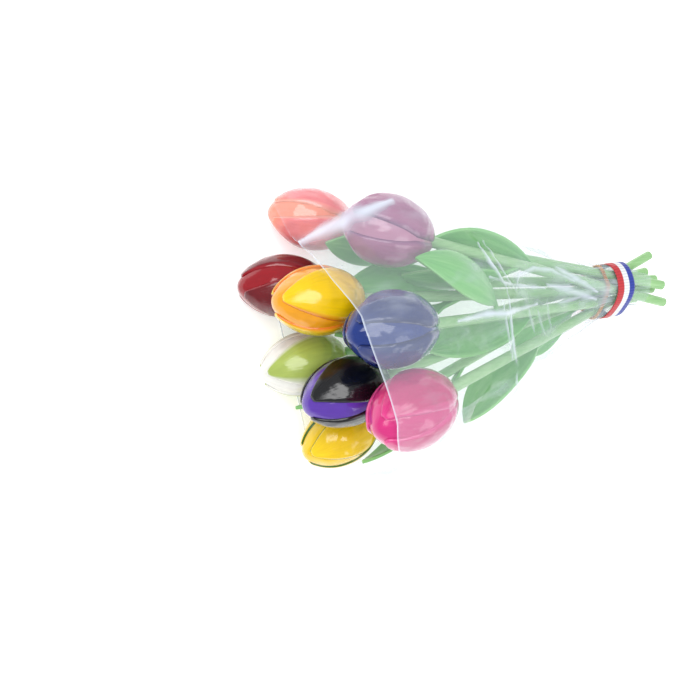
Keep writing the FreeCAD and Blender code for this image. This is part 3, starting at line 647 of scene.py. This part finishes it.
# Places of the tulips.
def stem_lines():
    """For each tulip, its point at the tie and its direction, as in a spiral bunch."""
    slopes = {
        name: (math.tan(math.radians(tulip.yaw)), math.tan(math.radians(tulip.pitch)))
        for name, tulip in TULIPS.items()
    }
    places = {
        name: Vector((0, -SPIRAL_LEVER * up, SPIRAL_LEVER * side)) for name, (side, up) in slopes.items()
    }
    middle = sum(places.values(), Vector()) / len(places)
    return {
        name: (places[name] - middle, Vector((-1, side, up)).normalized())
        for name, (side, up) in slopes.items()
    }


def axes(along_x, along_y, along_z, at):
    """A placement from its three axes and its origin."""
    turned = Matrix((along_x, along_y, along_z)).transposed().to_4x4()
    return Matrix.Translation(at) @ turned


def stem_place(tulip, line):
    """The stem's frame: +Z along it to the head, +X its upper side, origin at its free end."""
    place, direction = line
    side = direction.cross(Vector((0, 0, 1))).normalized()
    return axes(side.cross(direction), side, direction, place - direction * TULIPS[tulip].tail)


def leaf_place(name):
    """Where a leaf's root sits in its stem's frame."""
    blade = LEAVES[name]
    side, lean, twist = (math.radians(angle) for angle in (blade.side, blade.lean, blade.twist))
    up = Vector((0, 0, 1))
    out = Vector((math.cos(side), math.sin(side), 0))
    along = up * math.cos(lean) + out * math.sin(lean)
    back = out * math.cos(lean) - up * math.sin(lean)
    across = back.cross(along)
    level = across * math.cos(twist) + back * math.sin(twist)
    back = back * math.cos(twist) - across * math.sin(twist)
    root = out * (STEM_RADIUS - ROOT_DEPTH) + up * (TULIPS[blade.tulip].tail + blade.start)
    return axes(along, level, back, root)


# Soft pieces round the bunch.
def surface_of(name):
    """A CAD node's surface in millimetres about the tie, to lay a softer piece on, and its
    middle at each end."""
    # the middle near the mouth is taken this far in, and each from the points this close to it
    mouth_inset = 14.0
    ring_half = 8.0
    shape = bmesh.new()
    shape.from_mesh(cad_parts[name].data)
    bmesh.ops.remove_doubles(shape, verts=shape.verts, dist=1e-6)
    to_tie = HOME.inverted() @ Matrix.Scale(1 / MM, 4)
    bmesh.ops.transform(shape, matrix=to_tie, verts=shape.verts)
    tree = BVHTree.FromBMesh(shape)
    ends = []
    low, high = (pick(vert.co.x for vert in shape.verts) for pick in (min, max))
    for near in (high, min(high, low + mouth_inset)):
        ring = [vert.co for vert in shape.verts if abs(vert.co.x - near) < ring_half]
        middle = [(min(at[axis] for at in ring) + max(at[axis] for at in ring)) / 2 for axis in (1, 2)]
        ends.append(Vector((near, *middle)))
    shape.free()
    return tree, ends


def outermost(tree, start, way):
    """The last place where a ray from inside leaves a surface, or None if it meets nothing."""
    most_walls = 6
    step_past = 0.02
    found = None
    at = start
    for _ in range(most_walls):
        hit, _, _, _ = tree.ray_cast(at, way)
        if hit is None:
            break
        found = hit
        at = hit + way * step_past
    return found


def camera_place():
    """The camera's placement about the tie, in millimetres, with its own -Z looking."""
    back = Vector((-math.cos(CAMERA_STEEP), 0, math.sin(CAMERA_STEEP)))
    across = (Vector((1, 0, 0)) - back * back.x).normalized()
    upward = back.cross(across)
    right = across * math.cos(CAMERA_SLOPE) - upward * math.sin(CAMERA_SLOPE)
    top = across * math.sin(CAMERA_SLOPE) + upward * math.cos(CAMERA_SLOPE)
    middle = (PICTURE_MIDDLE - TIE_PIXEL) * PICTURE_WIDTH / PICTURE_PIXELS
    return axes(right, top, back, back * CAMERA_DISTANCE + right * middle.x - top * middle.y)


def seen_at(tree, pixel):
    """The place on a surface that the camera sees at a pixel of the photograph, to a tenth of a
    millimetre, which is finer than a pixel."""
    place = camera_place()
    aside = (Vector(pixel) - PICTURE_MIDDLE) * PICTURE_WIDTH / PICTURE_PIXELS
    way = place.to_3x3() @ Vector((aside.x, -aside.y, -CAMERA_DISTANCE))
    spot, _, _, _ = tree.ray_cast(place.translation, way.normalized())
    return Vector([round(part, 1) for part in spot])


def mouth_share(turn):
    """How far the film's mouth reaches at a share of a turn."""
    place = (turn % 1.0) * len(MOUTH_SHARES)
    before = int(place)
    step = place - before
    first = MOUTH_SHARES[before % len(MOUTH_SHARES)]
    second = MOUTH_SHARES[(before + 1) % len(MOUTH_SHARES)]
    return first + (second - first) * (0.4 * step + 0.6 * eased(step))


def from_line(point, line):
    """Distance from a point to a row of points, longer towards the row's ends."""
    best = math.inf
    for index, (start, end) in enumerate(zip(line, line[1:])):
        run = end - start
        share = min(1.0, max(0.0, (point - start).dot(run) / run.length_squared))
        along = (index + share) / (len(line) - 1)
        far = (point - start - run * share).length / max(0.15, math.sin(math.pi * along)) ** 0.5
        best = min(best, far)
    return best


# Folds in the film, as rows of points about the tie, each with its width and strength: the long
# one beside the salmon head and two in the lower flap.
FOLDS = (
    (((-163, 31, 28.5), (-157, 33, 34), (-151, 34.5, 39), (-142, 38, 42), (-131, 41, 42)), 1.9, 0.9),
    (((-159, -50, -15.5), (-150, -52, -15.5), (-140, -54, -15.5), (-128, -55, -15)), 0.6, 0.6),
    (((-146, -57, -15.5), (-135, -62, -15), (-123, -63, -14.5), (-112, -60, -14)), 0.9, 0.6),
)
# Creases that show in the photograph, as rows of its pixels, each with the width in millimetres
# and the strength of the crease.
CREASE_PIXELS = (
    # down from the film's upper edge
    (((478, 243), (490, 262), (500, 276), (507, 288)), 0.8, 0.85),
    (((483, 241), (498, 262), (508, 279), (516, 290)), 0.7, 0.6),
    # on across the stems
    (((507, 290), (511, 320), (514, 350), (517, 385)), 0.7, 0.8),
    (((503, 300), (508, 330), (513, 360)), 0.5, 0.6),
    # along the middle stems
    (((458.2, 321), (487, 314), (508, 312.9), (537, 304)), 0.9, 0.9),
    (((490, 277), (505, 283), (525, 286), (545, 288)), 0.8, 0.75),
    (((560, 303), (570, 300), (584, 296)), 0.8, 0.6),
    # a wedge towards the tie, and an arch over it
    (((548, 285), (570, 290), (598, 300)), 1.5, 0.7),
    (((556, 267), (575, 278), (598, 292)), 1.1, 0.7),
    (((516, 290), (519, 275), (534, 268), (552, 270), (575, 281)), 0.7, 0.7),
    # small tucks
    (((528, 306), (531, 318), (535, 333)), 0.8, 0.40),
    (((547, 300), (549, 315), (552, 330)), 0.9, 0.30),
    (((538, 310), (541, 322), (545, 334)), 0.7, 0.35),
)
# Broad glare on the film, as a middle, a radius and a strength.
GLARES = (
    ((-68, 4, 29), 13, 0.35),
    ((-40, 5, 19), 12, 0.40),
    ((-96, -6, 42), 15, 0.12),
    ((-25, -2, 15), 10, 0.40),
    ((-13, -2, 13), 7, 0.70),
    ((-138, -54, -15), 13, 0.30),
)


def creased(hit, creases):
    """How strongly the film is creased at a place; its upper side's creases stay on that side."""
    past_ends = 12.0
    strongest = 0.0
    for line, wide, strong in creases:
        same_side = hit.z > UNDERSIDE or line[0].z < 0
        if same_side and line[0].x - past_ends < hit.x < line[-1].x + past_ends:
            shaky = wide * (1.5 + 0.5 * noise.noise(hit * 0.20))
            strongest = max(strongest, strong * math.exp(-(from_line(hit, line) / shaky) ** 2))
    return strongest


def glaring(hit):
    """How strong the broad glare is at a place, in patches drawn out along the bunch."""
    patch = 0.6 + 0.9 * noise.noise(Vector((hit.x * 0.10, hit.y * 0.28, hit.z * 0.28)))
    return patch * max(
        strong * math.exp(-((hit - Vector(middle)).length / wide) ** 2) for middle, wide, strong in GLARES
    )


def past_fold(hit):
    """Share by which a place lies past the long folded line, where the film is a single clear layer."""
    if hit.x >= FOLD_END:
        return 0.0
    beside = hit.y - FOLD_START.y - FOLD_SLOPE * (hit.x - FOLD_START.x)
    return min(1.0, max(0.0, beside / CLEAR_BESIDE)) * min(1.0, (FOLD_END - hit.x) / CLEAR_ALONG)


def film_wrap():
    """One sheet of film rolled round the bunch: it meets itself at the seam, is gathered at the
    tie and open at the heads, with creases where it has been folded."""
    tree, ends = surface_of("film_wrap")
    creases = [([Vector(point) for point in row], wide, strong) for row, wide, strong in FOLDS]
    creases += [
        ([seen_at(tree, pixel) for pixel in row], wide, strong) for row, wide, strong in CREASE_PIXELS
    ]
    shape = bmesh.new()
    strengths = []

    def wrap(u, v):
        angle = 2 * math.pi * u
        way = Vector((0, math.cos(angle), math.sin(angle)))
        length = FILM_LENGTH * mouth_share(u) - 2 * FILM_GAP
        x = FILM_SKIRT - FILM_GAP - (FILM_SKIRT + length) * v
        start = ends[0].lerp(ends[1], (x - ends[0].x) / (ends[1].x - ends[0].x))
        start.x = x
        # near the mouth the CAD film may end sooner, so the ray steps back until it meets it
        for step_back in (0.0, 0.4, 1.0, 2.0, 4.0, 8.0):
            hit = outermost(tree, start + Vector((step_back, 0, 0)), way)
            if hit:
                hit.x = x
                break
        # pleats run along the film and stop under the ribbon, and between heads the film sags
        near_tie = math.exp(-((x - PLEATS_AT) / PLEATS_REACH) ** 2)
        beside_ribbon = min(1.0, abs(x) / 9)
        round_tie = Vector((math.cos(angle), math.sin(angle), 0)) * 7
        pleat = PLEAT_DEPTH * noise.noise(round_tie + Vector((0, 0, x * 0.014))) * near_tie * beside_ribbon
        sag = SAG_DEPTH * noise.noise(Vector((x * 0.02, math.cos(angle) * 1.3, math.sin(angle) * 1.3)))
        ridge = creased(hit, creases)
        clear = past_fold(hit)
        # the film is whiter along its cut edge and along each pleat's middle near the tie, both painted
        # glints; along its creases partly its own fold whitening and partly painted glints; and in patches of
        # painted broad glare
        painted_edge_glint = 0.8 * math.exp(-((1 - v) * (FILM_SKIRT + length) / EDGE_WIDTH) ** 2)
        painted_pleat_glint = 0.42 * math.exp(-(pleat / 0.12) ** 2) * near_tie
        strength = max(ridge, glaring(hit), painted_edge_glint * (1 - 0.85 * clear), painted_pleat_glint)
        if strength < 0.12:
            strength -= 0.16 * clear
        strengths.append(strength)
        # folds go inwards only, and on the upper side a crease stands up
        spot = hit - way * (FILM_GAP + min(DEEPEST_FOLD, abs(pleat)) + max(0.0, sag))
        return spot + way * (CREASE_HEIGHT * ridge if hit.z > UNDERSIDE else 0.0)

    grid(shape, 380, 230, wrap, "film")
    # the film's whitening, kept on each vertex: fold whitening together with painted glints and painted glare
    whitening_and_painted_glare = shape.verts.layers.float.new("whitening_and_painted_glare")
    for vert, strength in zip(shape.verts, strengths):
        vert[whitening_and_painted_glare] = strength
    bmesh.ops.remove_doubles(shape, verts=shape.verts, dist=0.01)
    bmesh.ops.recalc_face_normals(shape, faces=shape.faces)
    area = sum(face.calc_area() for face in shape.faces) * MM * MM
    bmesh.ops.transform(shape, matrix=HOME, verts=shape.verts)
    made = finish_mesh("film_sheet", shape, [clear_film("cast polypropylene film")])
    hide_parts("film_wrap")


def ribbon():
    """The ribbon goes once round the film, in a closed turn."""
    tree, _ = surface_of("ribbon")
    shape = bmesh.new()
    seam_angle = 2.0
    width_share = 0.98
    # cloth doesn't turn sharp corners, so its distance is averaged over a stretch of the turn
    stretch = [math.radians(4.5) * step for step in range(-4, 5)]
    farthest = 13.0
    inset = 0.30

    def wrap(u, v):
        angle = 2 * math.pi * v + seam_angle
        way = Vector((0, math.cos(angle), math.sin(angle)))
        x = RIBBON_WIDTH * (u - 0.5) * width_share
        far = []
        for aside in stretch:
            ray = Vector((0, math.cos(angle + aside), math.sin(angle + aside)))
            hit = outermost(tree, Vector((x, 0, 0)), ray)
            far.append((hit.yz.length if hit else farthest) * math.cos(aside) ** 0.3)
        belly = 0.25 * (1 - (2 * u - 1) ** 2)
        ripple = 0.10 * math.sin(angle * 5 + u * 2)
        return Vector((x, 0, 0)) + way * (sum(far) / len(far) - inset + belly - ripple)

    grid(shape, 16, 160, wrap, "cloth")
    bmesh.ops.remove_doubles(shape, verts=shape.verts, dist=0.01)
    bmesh.ops.recalc_face_normals(shape, faces=shape.faces)
    area = sum(face.calc_area() for face in shape.faces) * MM * MM
    bmesh.ops.transform(shape, matrix=HOME, verts=shape.verts)
    made = finish_mesh("ribbon_cloth", shape, [woven_ribbon("rayon grosgrain ribbon")])
    wall = made.modifiers.new("thickness", "SOLIDIFY")
    wall.thickness = CLOTH_THICKNESS * MM
    wall.offset = 0.0
    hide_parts("ribbon")


def rubber_band():
    """The band lies twice round the stems, its two turns side by side."""
    tree, _ = surface_of("rubber_band")
    shape = bmesh.new()
    cord_half = 0.4
    cord_height = 0.5
    inset = 0.6
    farthest = 12.0
    for shift in BAND_TURNS:
        def wrap(u, v):
            angle = 2 * math.pi * v
            way = Vector((0, math.cos(angle), math.sin(angle)))
            hit = outermost(tree, Vector((BAND_PLACE, 0, 0)), way) or way * farthest
            turn = 2 * math.pi * u
            x = BAND_PLACE + shift + cord_half * math.sin(turn)
            return Vector((x, hit.y, hit.z)) + way * (cord_height * math.cos(turn) - inset)

        grid(shape, 10, 120, wrap, "band")
    bmesh.ops.remove_doubles(shape, verts=shape.verts, dist=0.005)
    bmesh.ops.recalc_face_normals(shape, faces=shape.faces)
    bmesh.ops.transform(shape, matrix=HOME, verts=shape.verts)
    made = finish_mesh("rubber_band_turns", shape, [rubber("natural rubber")])
    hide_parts("rubber_band")


# Floor, light and camera.
def floor():
    """A plain pale floor, lit from below as well, as in a light tent, so shadows almost vanish."""
    shape = bmesh.new()
    bmesh.ops.create_grid(shape, x_segments=1, y_segments=1, size=4.0)
    mesh = bpy.data.meshes.new("floor")
    shape.to_mesh(mesh)
    shape.free()
    material, tree, shader = new_material("matt white paper")
    feed(tree, shader, {
        "Base Color": colour("FBFBFC"),
        "Roughness": 0.9,
        "Specular IOR Level": 0.1,
        "Emission Color": colour("FFFFFF"),
        "Emission Strength": 0.42,
    })
    mesh.materials.append(material)
    made = bpy.data.objects.new("floor", mesh)
    made.location.z = -FLOOR_GAP * MM
    bpy.context.scene.collection.objects.link(made)


def lights():
    """Soft light from all round, with one large softbox above and a weaker one at the side."""
    world = bpy.data.worlds.new("studio")
    bpy.context.scene.world = world
    world.use_nodes = True
    feed(world.node_tree, world.node_tree.nodes["Background"], {"Color": colour("FFFFFF"), "Strength": 0.55})
    aim = Vector((-0.05, 0, 0.03))
    # where each stands and how wide it is, in metres, and its power in watts
    for name, place, size, power in (
        ("softbox above", Vector((-0.30, 0.12, 0.75)), 0.55, 4.6),
        ("softbox side", Vector((0.35, -0.65, 0.55)), 0.50, 2.0),
    ):
        light = bpy.data.lights.new(name, "AREA")
        light.shape = "SQUARE"
        light.size = size
        light.energy = power
        lamp = bpy.data.objects.new(name, light)
        lamp.location = place
        lamp.rotation_euler = (aim - place).to_track_quat("-Z", "Y").to_euler()
        bpy.context.scene.collection.objects.link(lamp)


def camera():
    """The camera that sees the bunch as the photograph does."""
    place = HOME @ camera_place()
    lens = bpy.data.cameras.new("camera")
    lens.sensor_width = SENSOR_WIDTH
    lens.lens = SENSOR_WIDTH * CAMERA_DISTANCE / PICTURE_WIDTH
    lens.clip_start = 0.01
    made = bpy.data.objects.new("camera", lens)
    made.matrix_world = Matrix.Translation(place.translation * MM) @ place.to_3x3().to_4x4()
    bpy.context.scene.collection.objects.link(made)
    bpy.context.scene.camera = made
    bpy.context.scene.view_settings.view_transform = "Standard"


# The whole bunch.
lines = stem_lines()
greens = leaf_paint("satin green acrylic on wood", "72BE64", "92D080", "54A84E")
dowels = dowel_paint("pale green acrylic on dowel", "9ACA8C", "A8D29A", "8CC080")
for name, tulip in TULIPS.items():
    place = HOME @ stem_place(name, lines[name])
    on_stem = Matrix.Translation((0, 0, tulip.tail + tulip.reach))
    turned = Matrix.Rotation(math.radians(tulip.turn), 4, "Z")
    paint = PAINTS[name]
    outer_paint = petal_lacquer(
        f"gloss lacquer {name}", paint.body, paint.edge, paint.tip, paint.foot, paint.outline, paint.rim_share
    )
    inner_paint = petal_lacquer(f"gloss lacquer {name} inner", *[paint.inner] * 4)
    head(name, place @ on_stem @ turned, outer_paint, inner_paint)
    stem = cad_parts[f"stem_{name}"]
    stem.data.materials.clear()
    stem.data.materials.append(dowels)
for name, blade in LEAVES.items():
    leaf(name, HOME @ stem_place(blade.tulip, lines[blade.tulip]) @ leaf_place(name), greens)
rubber_band()
film_wrap()
ribbon()
floor()
lights()
camera()
